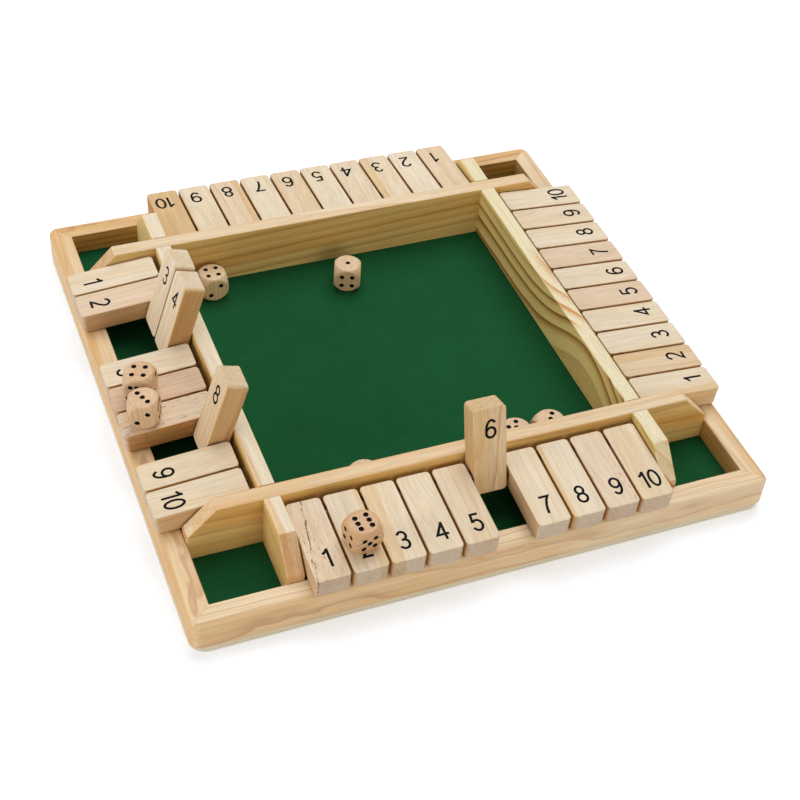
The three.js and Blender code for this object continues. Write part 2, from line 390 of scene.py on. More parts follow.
def drawn_steel():
    """Steel rod, bright drawn: a mirror-like bar with faint lines along it."""
    material, add, surface = new_material("drawn_steel")
    place = add("Attribute", attribute_name="grain", out="Vector")
    line = add("VectorMath", place, (0.02, 4, 4), operation="MULTIPLY")
    line = add("TexNoise", line, 1, 3)
    gloss = add("MapRange", line, 0.3, 0.7, 0.22, 0.4)
    bump = add("Bump")
    feed(bump.node, {"Height": line, "Strength": 0.15, "Distance": 0.05 * MM})
    feed(surface, {"Base Color": bpy.context.scene.game_colours.steel, "Metallic": 1, "Roughness": gloss,
                   "Normal": bump})
    return material


def pad_ink(name, roughness):
    """Black pad-print ink or pip paint, laid on wood: slightly uneven where the grain drinks it."""
    material, add, surface = new_material(name)
    uneven = add("TexNoise", add("TexCoord", out="Object"), 900, 2)
    gloss = add("MapRange", uneven, 0, 1, roughness - 0.1, roughness + 0.1)
    feed(surface, {"Base Color": bpy.context.scene.game_colours.ink, "Roughness": gloss,
                   "Specular IOR Level": 0.05})
    return material


def node_points(node):
    """A CAD node's corners in metres, one row each, without repeats."""
    mesh = frame["nodes"][node].data
    points = np.empty(len(mesh.vertices) * 3)
    mesh.vertices.foreach_get("co", points)
    return np.unique(np.round(points.reshape(-1, 3), 6), axis=0)


def axes_matrix(x_axis, y_axis, z_axis, origin):
    """The placement whose own axes point along these three directions."""
    return Matrix.Translation(origin) @ Matrix((x_axis, y_axis, z_axis)).transposed().to_4x4()


def tile_place(side, number):
    """A tile's own frame at rest: X along the rod, -Y towards the outer end, Z out of the marked face."""
    joint = next(j for j in frame["joints"] if j["name"] == f"tile_{side}_{number}_hinge")
    rod = Vector(joint["pos_m"])
    along = -Vector(joint["axis"])
    inward = rod - Vector(node_points(f"tile_{side}_{number}").mean(axis=0))
    inward = (inward - along * inward.dot(along)).normalized()
    return axes_matrix(along, inward, along.cross(inward), rod)


def tile_extents():
    """Low and high corners of a tile in its own frame, in metres."""
    back = tile_place("front", 1).inverted()
    own = np.array([back @ Vector(point) for point in node_points("tile_front_1")])
    return own.min(axis=0), own.max(axis=0)


def die_place(name):
    """A die's frame at rest, from its flat faces: Z is the one most up, and -Y the one most to the front."""
    flat_area = 100 * MM * MM
    areas = {}
    for face in frame["nodes"][name].data.polygons:
        key = tuple(round(n, 2) for n in face.normal)
        areas.setdefault(key, [0, Vector()])
        areas[key][0] += face.area
        areas[key][1] += face.normal * face.area
    flats = [total.normalized() for area, total in areas.values() if area > flat_area]
    if len(flats) != 6:
        raise RuntimeError(f"{name} shows {len(flats)} flat faces, and a die has 6")
    top = max(flats, key=lambda n: n.z)
    beside = [n for n in flats if abs(n.dot(top)) < 0.5]
    front = min(beside, key=lambda n: n.y)
    low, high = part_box(name)
    return axes_matrix((-front).cross(top), -front, top, (low + high) / 2)


def quarter_turn(side):
    """What turns a piece built at the front round to its side."""
    return Matrix.Rotation(SIDES.index(side) * math.pi / 2, 4, "Z")


def quarter_angles(steps):
    """The angles of a quarter turn, in even steps."""
    return [math.pi / 2 * step / steps for step in range(steps + 1)]


def loft(rings):
    """A closed bmesh through rings of points, each with the same count, and capped at both ends."""
    bm = bmesh.new()
    rows = [[bm.verts.new(point) for point in ring] for ring in rings]
    count = len(rows[0])
    for lower, upper in zip(rows, rows[1:]):
        for i in range(count):
            j = (i + 1) % count
            bm.faces.new((lower[i], lower[j], upper[j], upper[i]))
    bm.faces.new(reversed(rows[0]))
    bm.faces.new(rows[-1])
    bmesh.ops.recalc_face_normals(bm, faces=bm.faces)
    return bm


def turned(profile, steps=32):
    """A round solid along X, from its profile as (place, radius)."""
    turns = [math.tau * step / steps for step in range(steps)]
    return loft([[(x, r * math.cos(t), r * math.sin(t)) for t in turns] for x, r in profile])


def round_bar(radius, low_x, high_x, chamfer):
    """A bar along X with chamfered ends."""
    return turned(((low_x, radius - chamfer), (low_x + chamfer, radius), (high_x - chamfer, radius),
                   (high_x, radius - chamfer)))


def rounded_rectangle(low_x, high_x, low_y, high_y, radius, steps):
    """Points round a rectangle with round corners, anticlockwise from the right of the near side."""
    points = []
    centres = ((high_x - radius, low_y + radius), (high_x - radius, high_y - radius),
               (low_x + radius, high_y - radius), (low_x + radius, low_y + radius))
    for corner, (x, y) in enumerate(centres):
        for step in range(steps + 1):
            angle = math.radians(-90 + 90 * (corner + step / steps))
            points.append((x + radius * math.cos(angle), y + radius * math.sin(angle)))
    return points


def eased_slab(low, high, corner, ease, corner_steps):
    """A slab with round corners in plan, and a small radius round its top and bottom edges."""
    turns = quarter_angles(3)
    levels = [(ease * (1 - math.sin(t)), low[2] + ease * (1 - math.cos(t))) for t in turns]
    levels += [(ease * (1 - math.sin(t)), high[2] - ease * (1 - math.cos(t))) for t in reversed(turns)]
    rings = []
    for inset, z in levels:
        plan = rounded_rectangle(low[0] + inset, high[0] - inset, low[1] + inset, high[1] - inset,
                                 corner - inset, corner_steps)
        rings.append([(x, y, z) for x, y in plan])
    return loft(rings)


def add_piece(name, bm, *materials):
    """Turns a bmesh into an object in the scene."""
    mesh = bpy.data.meshes.new(name)
    bm.to_mesh(mesh)
    bm.free()
    for material in materials:
        mesh.materials.append(material)
    return add_object(name, mesh)


def add_object(name, data):
    """Adds an object to the scene."""
    piece = bpy.data.objects.new(name, data)
    bpy.context.scene.collection.objects.link(piece)
    return piece


def cut_or_join(piece, tool, operation="DIFFERENCE"):
    """Cuts a piece with a tool object, or joins the two, and removes the tool."""
    modifier = piece.modifiers.new("boolean", "BOOLEAN")
    modifier.operation = operation
    modifier.solver = "EXACT"
    modifier.material_mode = "TRANSFER"
    modifier.object = tool
    ready = piece.evaluated_get(bpy.context.evaluated_depsgraph_get())
    mesh = bpy.data.meshes.new_from_object(ready)
    piece.modifiers.clear()
    piece.data = mesh
    bpy.data.objects.remove(tool)


def set_piece(piece, body, node, sharp_degrees=40):
    """Shades a piece smooth, with flat faces and real corners kept, and sets it in its node's place."""
    mesh = piece.data
    mesh.polygons.foreach_set("use_smooth", [True] * len(mesh.polygons))
    mesh.set_sharp_from_angle(angle=math.radians(sharp_degrees))
    weighted = piece.modifiers.new("flat faces stay flat", "WEIGHTED_NORMAL")
    weighted.keep_sharp = True
    weighted.weight = 100
    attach(piece, body)
    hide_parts(node)


def write_attribute(mesh, domain, name, values):
    """Stores a number or a vector for each point or face of a mesh, for its material to read."""
    values = np.asarray(values, np.float32)
    kind, key = ("FLOAT_VECTOR", "vector") if values.ndim == 2 else ("FLOAT", "value")
    attribute = mesh.attributes.get(name) or mesh.attributes.new(name, kind, domain)
    attribute.data.foreach_set(key, values.ravel())


def slice_along(mesh, step):
    """Cuts the faces of a long piece across every step, so that its grain can bend along it."""
    bm = bmesh.new()
    bm.from_mesh(mesh)
    reach = max(vert.co.x for vert in bm.verts)
    for place in np.arange(step - reach, reach, step):
        bmesh.ops.bisect_plane(bm, geom=bm.verts[:] + bm.edges[:] + bm.faces[:], plane_co=(place, 0, 0),
                               plane_no=(1, 0, 0), dist=0.001 * MM)
    bm.to_mesh(mesh)
    bm.free()


# Fibres along a piece's own X
ALONG_X = ((1, 0, 0), (0, 1, 0), (0, 0, 1))
# Heartwood that begins far outside every piece, and a streak that passes far beside it
NO_HEART = (0, 0, 1000)
NO_STREAK = (1000, 0)
# How squarely a face cuts the fibres, as a cosine: from where it is a cut end, and from where a slope
END_FACE = 0.75
SLOPE_FACE = 0.6


def give_grain(mesh, axes, look, pith=(0, 30), slope=(0, 0), shift=0.0, heart=NO_HEART, flecks=0.0, years=0,
               swirl=(0, 0, 1), streak=NO_STREAK, flank=1.0, ends=1.0, slopes=0.0, top_lines=None):
    """Writes where each point of a piece lay in its log, in millimetres, and how that piece looks.

    axes are the fibre direction and the two across it, and look is (warmth, tint, strength of the lines).
    pith is the log's middle, seen from the piece's middle, and slope is how fast the fibres leave it. shift
    and years choose the stretch of log and its rings. Heartwood lies beyond heart's third number, measured
    along its first two. swirl is where the fibres rise round a knot, how far, and over what length. streak is
    a streak of resin, as its place across the middle and its slope. flank is how much painted shade
    the long sides get, warmer and darker as in the gaps between tiles. ends and slopes are how far the cut
    ends and the sloped ones kept their rough look.
    top_lines is how much stronger the growth lines are on top, and from where to where along the piece: the
    rest of the top has none.
    """
    points = np.empty(len(mesh.vertices) * 3)
    mesh.vertices.foreach_get("co", points)
    points = points.reshape(-1, 3) / MM
    points = (points - (points.min(axis=0) + points.max(axis=0)) / 2) @ np.array(axes, float).T
    along, across, up = points.T
    write_attribute(mesh, "POINT", "streak", across - streak[0] - streak[1] * along)
    strength = np.full(len(points), look[2], float)
    if top_lines:
        gain, first, last = top_lines
        fade_mm = 20
        window = np.clip((along - first) / fade_mm, 0, 1) * np.clip((last - along) / fade_mm, 0, 1)
        strength *= np.where(up > up.max() - 0.1, gain * window, 1)
    across = across + slope[0] * along
    up = up + (slope[1] * along - swirl[1] * np.exp(-((along - swirl[0]) / swirl[2]) ** 2))
    same = np.ones(len(points))
    depth = across * heart[0] + up * heart[1] - heart[2]
    vectors = {
        "grain": (along + shift, across + pith[0], up + pith[1]),
        "look": (same * look[0], same * look[1], strength),
        "marks": (depth, same * flecks, same * years),
    }
    for name, columns in vectors.items():
        write_attribute(mesh, "POINT", name, np.column_stack(columns))
    turns = np.abs(np.array([tuple(face.normal) for face in mesh.polygons]) @ np.array(axes, float).T)
    cut_across = np.where(turns[:, 0] > END_FACE, ends, np.where(turns[:, 0] > SLOPE_FACE, slopes, 0))
    write_attribute(mesh, "FACE", "end_grain", cut_across)
    # The painted side shade comes in over the eased edges
    write_attribute(mesh, "FACE", "flank", flank * np.clip((turns[:, 1] - 0.4) / 0.5, 0, 1))


class SHUTBOX_OT_base_board(bpy.types.Operator):
    """Builds the thin base board under everything, and finishes the hidden floor board"""
    bl_idname = "shutbox.base_board"
    bl_label = "Base and floor boards"

    def execute(self, context):
        sizes = context.scene.board_sizes
        ply = rotary_ply()
        slab = eased_slab(*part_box("base_board"), sizes.sheet_corner, sizes.sheet_arris, 10)
        board = add_piece("base_sheet", slab, ply)
        edges = [abs(face.normal.z) < 0.5 for face in board.data.polygons]
        write_attribute(board.data, "FACE", "edge", edges)
        set_piece(board, "board", "base_board")
        hidden = frame["nodes"]["floor_board"].data.materials
        hidden.clear()
        hidden.append(ply)
        return {"FINISHED"}


class SHUTBOX_OT_felt_lining(bpy.types.Operator):
    """Lays the felt over the whole floor, with the slow unevenness of glued cloth"""
    bl_idname = "shutbox.felt_lining"
    bl_label = "Felt lining"

    def execute(self, context):
        rise = context.scene.board_sizes.felt_rise
        # Cells of 4 mm, for waves of about 26 mm and 6 mm
        cells = 74
        wide_waves, short_waves = 38, 160
        bm = bmesh.new()
        bmesh.ops.create_grid(bm, x_segments=cells, y_segments=cells, size=1)
        span = (FELT_HIGH - FELT_LOW) / 2
        for vert in bm.verts:
            x, y = vert.co.x * span.x, vert.co.y * span.y
            wave = noise.noise(Vector((x * wide_waves, y * wide_waves, 0.3))) * 0.5
            wave += noise.noise(Vector((x * short_waves, y * short_waves, 5))) * 0.3
            vert.co = (x, y, FELT_HIGH.z - rise * (0.5 - 0.5 * max(-1, min(1, wave))))
        made = bmesh.ops.extrude_face_region(bm, geom=list(bm.faces))
        for item in made["geom"]:
            if isinstance(item, bmesh.types.BMVert):
                item.co.z = FELT_LOW.z
        bmesh.ops.recalc_face_normals(bm, faces=bm.faces)
        felt = add_piece("felt_sheet", bm, needled_felt())
        set_piece(felt, "board", "felt_lining")
        return {"FINISHED"}


def rail_rings(sizes):
    """Sections along the front rail from mitre to mitre. Each goes round the rail's profile."""
    half = FRAME_HIGH.x
    width = half - FLOOR_HIGH.x
    foot, top = FRAME_LOW.z, FRAME_HIGH.z
    r, ease, corner, chamfer = sizes.outer_round, sizes.arris, sizes.corner_round, sizes.foot_chamfer
    profile = [(width, foot), (chamfer, foot), (0, foot + chamfer)]
    profile += [(r - r * math.cos(t), top - r + r * math.sin(t)) for t in quarter_angles(6)]
    inner, upper = width - ease, top - ease
    profile += [(inner + ease * math.sin(t), upper + ease * math.cos(t)) for t in quarter_angles(3)]
    # Where the straight part of the rail begins, well clear of the round corner
    straight = half - 2.2 * corner
    arc_steps = 7
    rings = []
    for station in range(arc_steps + 2):
        share = min(1, station / arc_steps)
        turn = math.radians(225 + 45 * share)
        ring = []
        for inset, z in profile:
            reach = corner - inset
            if station > arc_steps:
                x, y = -straight, inset - half
            elif reach > 0:
                x, y = corner - half + reach * math.cos(turn), corner - half + reach * math.sin(turn)
            else:
                # Inside the round corner the sections draw together towards the mitre
                x, y = inset - half + share * (half - inset - straight) * 0.8, inset - half
            if station == 0:
                x += sizes.mitre_gap / 2
            ring.append((x, y, z))
        rings.append(ring)
    return rings + [[(-x, y, z) for x, y, z in ring] for ring in reversed(rings)]


# How each rail and wall was cut from its log, in millimetres
RAIL_CUTS = {
    "front": dict(look=(0.03, 0, 0.65), pith=(-27, -8), slope=(0.012, 0.006), heart=(-1, 0, 5)),
    "right": dict(look=(0.2, 0, 0.6), pith=(-9, -34), slope=(0.02, -0.01), shift=420, heart=(-1, 0, 2.2)),
    "rear": dict(look=(0.8, 0, 0.8), pith=(5, -27), slope=(-0.01, 0.008), shift=910),
    "left": dict(look=(0.38, 0, 0.5), pith=(-4, -31), slope=(0.02, 0.01), shift=1330, heart=(-1, 0, 1.8)),
}
WALL_CUTS = {
    "front": dict(look=(0.22, 0, 0.4), pith=(-26, -30), slope=(0, 0.03), shift=200, heart=(-0.25, 1, 0.3),
                  years=3),
    "right": dict(look=(0, 0.65, 1.2), pith=(-37.5, 34), shift=760, swirl=(-55, 26, 44), years=16163,
                  top_lines=(2.6, -38, 38), slopes=0.3),
    "rear": dict(look=(0.14, 0, 0.45), pith=(-14, -46), slope=(0, 0.045), shift=1100, heart=(0, 1, -5.7),
                 years=8, slopes=0.8),
    "left": dict(look=(0, 0, 0.25), pith=(-60, 6), slope=(-0.02, 0.03), shift=1700, heart=(-1, 0, 3.6),
                 years=14, slopes=1),
}


class SHUTBOX_OT_outer_rails(bpy.types.Operator):
    """Builds the four mitred rails round the board"""
    bl_idname = "shutbox.outer_rails"
    bl_label = "Outer rails"

    def execute(self, context):
        pine = planed_pine()
        for side in SIDES:
            rail = add_piece(f"rail_{side}", loft(rail_rings(context.scene.board_sizes)), pine)
            give_grain(rail.data, ALONG_X, ends=0, **RAIL_CUTS[side])
            # Painted shade on each rail's inner face, which faces the tray
            inner_face = [face.normal.y > 0.75 for face in rail.data.polygons]
            write_attribute(rail.data, "FACE", "flank", inner_face)
            rail.matrix_world = quarter_turn(side)
            set_piece(rail, "board", "outer_frame")
        return {"FINISHED"}


def fillet(before, corner, after, radius):
    """Points that round off a corner of an outline."""
    corner = Vector(corner)
    back = (Vector(before) - corner).normalized()
    on = (Vector(after) - corner).normalized()
    half_angle = back.angle(on) / 2
    reach = radius / math.tan(half_angle)
    centre = corner + (back + on).normalized() * radius / math.sin(half_angle)
    start, end = corner + back * reach - centre, corner + on * reach - centre
    return [tuple(centre + start.lerp(end, step / 6).normalized() * radius) for step in range(7)]


def mirrored(outline):
    """An outline's points on the other side of the middle, in the order that goes on round."""
    return [(-a, z) for a, z in reversed(outline)]


def wall_shape(sizes, notched_below):
    """The front wall as a bmesh: its outline with sloped ends and notches, and eased arrises."""
    close = 0.1 * MM
    points = node_points("wall_front")
    reach, foot, top = WALL_HIGH.x, WALL_LOW.z, WALL_HIGH.z
    end_top = points[points[:, 0] > reach - close][:, 2].max()
    flat_end = points[points[:, 2] > top - close][:, 0].max()
    outer, tray = -WALL_LOW.y, -WALL_HIGH.y
    lap = (foot + top) / 2
    slope = fillet((reach, foot), (reach, end_top), (flat_end, top), sizes.slope_foot)
    slope += fillet((reach, end_top), (flat_end, top), (0, top), sizes.slope_crest)
    if notched_below:
        notch = [(tray, foot), (tray, lap), (outer, lap), (outer, foot)]
        below, above = mirrored(notch) + notch, []
    else:
        notch = [(outer, top), (outer, lap), (tray, lap), (tray, top)]
        below, above = [], notch + mirrored(notch)
    outline = [(-reach, foot)] + below + [(reach, foot)] + slope + above + mirrored(slope)
    bm = loft([[(a, y, z) for a, z in outline] for y in (WALL_LOW.y, WALL_HIGH.y)])

    def in_lap(vert):
        return tray - MM < abs(vert.co.x) < outer + MM and vert.co.z < top - close

    eased = []
    for edge in bm.edges:
        a, b = edge.verts
        level_across = abs(a.co.y - b.co.y) > close
        upright = abs(a.co.x - b.co.x) < close / 10 and abs(abs(a.co.x) - reach) > close
        if not (level_across or upright or (in_lap(a) and in_lap(b))):
            eased.append(edge)
    bmesh.ops.bevel(bm, geom=eased, offset=sizes.arris, segments=3, profile=0.5, affect="EDGES",
                    clamp_overlap=True)
    return bm


class SHUTBOX_OT_inner_walls(bpy.types.Operator):
    """Builds the four walls that are halved over each other, with blind holes for the rods"""
    bl_idname = "shutbox.inner_walls"
    bl_label = "Inner walls"

    def execute(self, context):
        pine = planed_wall_pine()
        hole_depth = ROD_HIGH.x + WALL_HIGH.y + ROD_PLAY
        for side in SIDES:
            shape = wall_shape(context.scene.board_sizes, side in ("front", "rear"))
            wall = add_piece(f"halved_wall_{side}", shape, pine)
            for sign in (-1, 1):
                drill = add_piece("drill", round_bar(ROD_RADIUS + ROD_PLAY, -hole_depth, MM, 0), pine)
                mouth = Matrix.Translation((sign * -ROD_MIDDLE.y, WALL_HIGH.y, ROD_MIDDLE.z))
                drill.matrix_world = mouth @ Matrix.Rotation(math.pi / 2, 4, "Z")
                cut_or_join(wall, drill)
            slice_along(wall.data, 6 * MM)
            give_grain(wall.data, ALONG_X, **WALL_CUTS[side])
            wall.matrix_world = quarter_turn(side)
            set_piece(wall, "board", f"wall_{side}")
        return {"FINISHED"}


class SHUTBOX_OT_hinge_rods(bpy.types.Operator):
    """Turns the four steel rods that the tiles hang on"""
    bl_idname = "shutbox.hinge_rods"
    bl_label = "Hinge rods"

    def execute(self, context):
        steel = drawn_steel()
        for index, side in enumerate(SIDES):
            bar = round_bar(ROD_RADIUS, ROD_LOW.x, ROD_HIGH.x, context.scene.board_sizes.rod_chamfer)
            rod = add_piece(f"steel_rod_{side}", bar, steel)
            give_grain(rod.data, ALONG_X, look=(0, 0, 0), pith=(0, 0), shift=300 * index)
            rod.matrix_world = quarter_turn(side) @ Matrix.Translation(ROD_MIDDLE)
            set_piece(rod, "board", f"hinge_rod_{side}")
        return {"FINISHED"}


# Kinds of tile, as (warmth, tint, strength of the lines), and flecks of resin
TILE_KINDS = {
    "pale": ((0.02, 0, 0.12), 0),
    "cream": ((0.12, 0, 0.22), 0),
    "striped": ((0.12, 0.15, 0.5), 0),
    "tan": ((0.3, 0.2, 0.35), 0),
    "pink": ((0.15, 0.5, 0.25), 0),
    "flecked": ((0.08, 0.3, 0.2), 0.8),
    "rosy": ((0.3, 0.7, 0.7), 0.25),
    "golden": ((0.55, 0, 0.9), 0),
    "honey": ((0.4, 0, 0.45), 0),
    "orange": ((0.9, 0.3, 0.3), 0),
}
TILE_ROWS = {
    "front": "flecked cream pale pale striped golden pale pale flecked cream",
    "right": "cream tan pale cream pink cream pink cream striped pale",
    "rear": "tan pale cream striped pale tan pale striped cream orange",
    "left": "pale pink cream cream cream rosy flecked honey cream cream",
}
# What sets single tiles apart: heartwood along one edge, a streak of resin, and less painted shade
# on sides in the open. Raised tiles keep paler ends, as painted light on ends that face up into the light
TILE_CUTS = {
    "front_1": dict(flank=0.6, streak=(-4.4, 0.147)),
    "front_2": dict(heart=(1, 0, 5.5)),
    "front_3": dict(heart=(-1, 0, 1)),
    "front_6": dict(flank=0.5, ends=0.4),
    "front_7": dict(flank=0.7),
    "front_8": dict(heart=(-1, 0, 6.5)),
    "right_1": dict(heart=(-1, 0, 6), flank=0.1),
    "right_2": dict(heart=(1, 0, 2)),
    "rear_3": dict(heart=(1, 0, 4)),
    "rear_8": dict(heart=(-1, 0, 5)),
    "left_2": dict(heart=(1, 0, 8.2), flank=0.6),
    "left_3": dict(flank=0.5, ends=0.2),
    "left_4": dict(heart=(1, 0, 8), flank=0.7, ends=0.2),
    "left_7": dict(heart=(1, 0, 8)),
    "left_8": dict(flank=0.65, ends=0.3),
    "left_10": dict(flank=0.7),
}


def bored_tile(sizes, material):
    """A tile in its own frame, with its hinge hole drilled through and countersunk at both sides."""
    low, high = tile_extents()
    tile = add_piece("bored_tile", eased_slab(low, high, sizes.corner, sizes.arris, 5), material)
    bore = ROD_RADIUS + ROD_PLAY
    depth = sizes.sink_depth
    wide = bore + sizes.countersink * (1 + MM / depth)
    profile = ((low[0] - MM, wide), (low[0] + depth, bore), (high[0] - depth, bore), (high[0] + MM, wide))
    cut_or_join(tile, add_piece("drill", turned(profile, 24), material))
    return tile


class SHUTBOX_OT_flip_tiles(bpy.types.Operator):
    """Builds the forty flip tiles, each with its own piece of wood"""
    bl_idname = "shutbox.flip_tiles"
    bl_label = "Flip tiles"

    def execute(self, context):
        pattern = bored_tile(context.scene.tile_sizes, sanded_pine())
        draw = random.Random(7)
        along_y = ((0, 1, 0), (1, 0, 0), (0, 0, 1))
        for side in SIDES:
            for number, kind in enumerate(TILE_ROWS[side].split(), 1):
                (warmth, *others), flecks = TILE_KINDS[kind]
                node = f"tile_{side}_{number}"
                tile = add_object(f"flip_{side}_{number}", pattern.data.copy())
                turn = math.radians(draw.uniform(200, 340))
                distance = draw.uniform(18, 60)
                pith = (distance * math.cos(turn), distance * math.sin(turn))
                slope = (draw.uniform(-0.05, 0.05), draw.uniform(-0.09, 0.09))
                look = (warmth + draw.uniform(-0.05, 0.05), *others)
                give_grain(tile.data, along_y, look, pith, slope, shift=draw.uniform(0, 9000), flecks=flecks,
                           years=10 * number, **TILE_CUTS.get(f"{side}_{number}", {}))
                tile.matrix_world = tile_place(side, number)
                set_piece(tile, node, node)
        bpy.data.objects.remove(pattern)
        return {"FINISHED"}


# Pen strokes of the numerals, 11 units high. Two numbers are a point, and six are part of an ellipse: middle,
# half width, half height, first and last angle.
STROKES = {
    "0": [[(0, 5.5, 2.5, 4.95, 0, 360)]],
    "1": [[(0.8, 0), (0.8, 11)], [(0.75, 10.5), (-0.1, 9.3), (-1.0, 8.55), (-1.9, 8.1)]],
    "2": [[(0, 7.9, 2.4, 2.55, 170, -35), (0.6, 4.2), (-1.5, 2.2), (-2.4, 0.56), (2.5, 0.56)]],
    "3": [[(-0.05, 8.02, 2.1, 2.42, 160, -90), (-0.75, 5.6)], [(0, 3.15, 2.45, 2.6, 92, -160)]],
    "4": [[(1.35, 0), (1.35, 10.8)], [(1.35, 10.1), (-2.7, 3.35), (3.4, 3.35)]],
    "5": [[(2.3, 10.44), (-1.5, 10.44), (-2.05, 5.5)], [(-0.02, 3.68, 2.5, 3.12, 140, -160)]],
    "6": [[(0, 3.42, 2.48, 2.86, 0, 360)], [(0.2, 5.1, 2.68, 5.34, 42, 196)]],
    "7": [[(-2.5, 10.44), (2.45, 10.44), (1.1, 8.3), (0.0, 5.6), (-0.7, 2.8), (-0.95, 0)]],
    "8": [[(0, 8.08, 2.05, 2.36, 0, 360)], [(0, 3.2, 2.48, 2.64, 0, 360)]],
    "9": [[(0, 7.58, 2.48, 2.86, 0, 360)], [(-0.2, 5.9, 2.68, 5.34, 222, 376)]],
}
DIGIT_UNITS = 11
LETTER_SPACE = 1.1
# How deep the print's back lies in the wood
SUNK = 0.15


def stroke_points(stroke):
    """The points of one pen stroke, and whether it closes on itself."""
    points = []
    for item in stroke:
        if len(item) == 2:
            points.append(Vector(item))
            continue
        x, y, half_width, half_height, first, last = item
        steps = max(6, round(abs(last - first) / 10))
        for step in range(steps + 1):
            turn = math.radians(first + (last - first) * step / steps)
            points.append(Vector((x + half_width * math.cos(turn), y + half_height * math.sin(turn))))
    closed = (points[0] - points[-1]).length < 0.01
    return (points[:-1] if closed else points), closed


def stroke_shape(stroke, width, film):
    """A pen stroke as a thin closed bmesh, in units of the stroke table."""
    points, closed = stroke_points(stroke)
    count = len(points)
    bm = bmesh.new()
    rows = []
    for i, point in enumerate(points):
        before = points[i - 1] if i or closed else None
        after = points[(i + 1) % count] if i < count - 1 or closed else None
        way_in = (point - before).normalized() if before else (after - point).normalized()
        way_out = (after - point).normalized() if after else way_in
        normal = Vector((-(way_in + way_out).y, (way_in + way_out).x)).normalized()
        # A corner is mitred, and a sharp one is cut short
        stretch = min(2.5, 1 / max(0.1, normal.dot(Vector((-way_in.y, way_in.x)))))
        offset = normal * width / 2 * stretch
        left, right = point + offset, point - offset
        rows.append([bm.verts.new((*end, z)) for end, z in
                     ((left, film), (right, film), (right, -SUNK), (left, -SUNK))])
    for row, following in zip(rows, rows[1:] + rows[:1] if closed else rows[1:]):
        for i in range(4):
            j = (i + 1) % 4
            bm.faces.new((row[i], row[j], following[j], following[i]))
    if not closed:
        bm.faces.new(rows[0])
        bm.faces.new(reversed(rows[-1]))
    bmesh.ops.recalc_face_normals(bm, faces=bm.faces)
    return bm


def digit_shape(digit, sizes, ink):
    """One digit as a mesh in stroke units, centred on its own width and height."""
    unit = sizes.numeral_height / DIGIT_UNITS
    shapes = [stroke_shape(stroke, sizes.numeral_stroke / unit, sizes.ink_film / unit)
              for stroke in STROKES[digit]]
    piece = add_piece("digit", shapes[0], ink)
    for shape in shapes[1:]:
        cut_or_join(piece, add_piece("stroke", shape, ink), "UNION")
    mesh = piece.data
    bpy.data.objects.remove(piece)
    across = [v.co.x for v in mesh.vertices]
    mesh.transform(Matrix.Translation((-(min(across) + max(across)) / 2, -DIGIT_UNITS / 2, 0)))
    return mesh


class SHUTBOX_OT_numerals(bpy.types.Operator):
    """Prints a numeral on both faces of every tile"""
    bl_idname = "shutbox.numerals"
    bl_label = "Numerals"

    def execute(self, context):
        sizes = context.scene.tile_sizes
        ink = pad_ink("pad_print_ink", 0.5)
        digits = {digit: digit_shape(digit, sizes, ink) for digit in STROKES}
        widths = {digit: max(v.co.x for v in mesh.vertices) * 2 for digit, mesh in digits.items()}
        low, high = tile_extents()
        to_metres = Matrix.Scale(sizes.numeral_height / DIGIT_UNITS, 4)
        faces = ((sizes.upper_reach, Matrix.Translation((0, 0, high[2]))),
                 (sizes.under_reach, Matrix.Translation((0, 0, low[2])) @ Matrix.Rotation(math.pi, 4, "X")))
        draw = random.Random(21)
        for side in SIDES:
            for number in range(1, len(TILE_ROWS[side].split()) + 1):
                text = str(number)
                whole = sum(widths[digit] for digit in text) + LETTER_SPACE * (len(text) - 1)
                bm = bmesh.new()
                for reach, face in faces:
                    # Each print lands a little off its place
                    aside = sizes.numeral_aside + draw.uniform(-0.4, 0.4) * MM
                    place = Matrix.Translation((aside, -reach + draw.uniform(-0.7, 0.7) * MM, 0)) @ face
                    at = -whole / 2
                    for digit in text:
                        at += widths[digit] / 2
                        copy = digits[digit].copy()
                        copy.transform(place @ to_metres @ Matrix.Translation((at, 0, 0)))
                        bm.from_mesh(copy)
                        bpy.data.meshes.remove(copy)
                        at += widths[digit] / 2 + LETTER_SPACE
                numeral = add_piece(f"print_{side}_{number}", bm, ink)
                numeral.matrix_world = tile_place(side, number)
                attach(numeral, f"tile_{side}_{number}")
        return {"FINISHED"}


# Each face of a die in its own frame: outward direction, the two directions across it, and its pips in steps
# of the pip spacing. Opposite faces add up to seven.
DIE_FACES = {
    6: ((0, 0, 1), (1, 0, 0), (0, 1, 0), ((-1, -1.12), (-1, 0), (-1, 1.12), (1, -1.12), (1, 0), (1, 1.12))),
    5: ((0, -1, 0), (1, 0, 0), (0, 0, 1), ((-1, -1), (-1, 1), (0, 0), (1, -1), (1, 1))),
    3: ((1, 0, 0), (0, 1, 0), (0, 0, 1), ((-1, -1), (0, 0), (1, 1))),
    2: ((0, 1, 0), (1, 0, 0), (0, 0, 1), ((-1, -1), (1, 1))),
    4: ((-1, 0, 0), (0, 1, 0), (0, 0, 1), ((-1, -1), (-1, 1), (1, -1), (1, 1))),
    1: ((0, 0, -1), (1, 0, 0), (0, 1, 0), ((0, 0),)),
}
# The face on top, the face to the front, and the look of each die as (warmth, tint, strength of the lines)
DICE = {
    # die_1 is the palest, partly its own wood and partly painted light where the rear wall shades its top
    "die_1": (4, 2, (0, 0, 0.4)),
    "die_2": (1, 4, (0.3, 0, 0.5)),
    "die_3": (5, 6, (0.3, 0, 0.4)),
    "die_4": (3, 6, (0.2, 0, 0.4)),
    "die_5": (2, 3, (0.3, 0, 0.4)),
    "die_6": (6, 5, (0.9, 0, 1)),
    "die_7": (4, 6, (0.65, 0, 0.6)),
    "die_8": (3, 2, (0.5, 0, 0.5)),
}
# Diameter of the ball that a die's corners are turned to, for a die one across
BALL_TO_DIE = 21.7 / 16


def blend_low(a, b, width):
    """The lower of two values, with a soft change between them."""
    share = max(width - abs(a - b), 0) / width
    return min(a, b) - share * share * width / 4


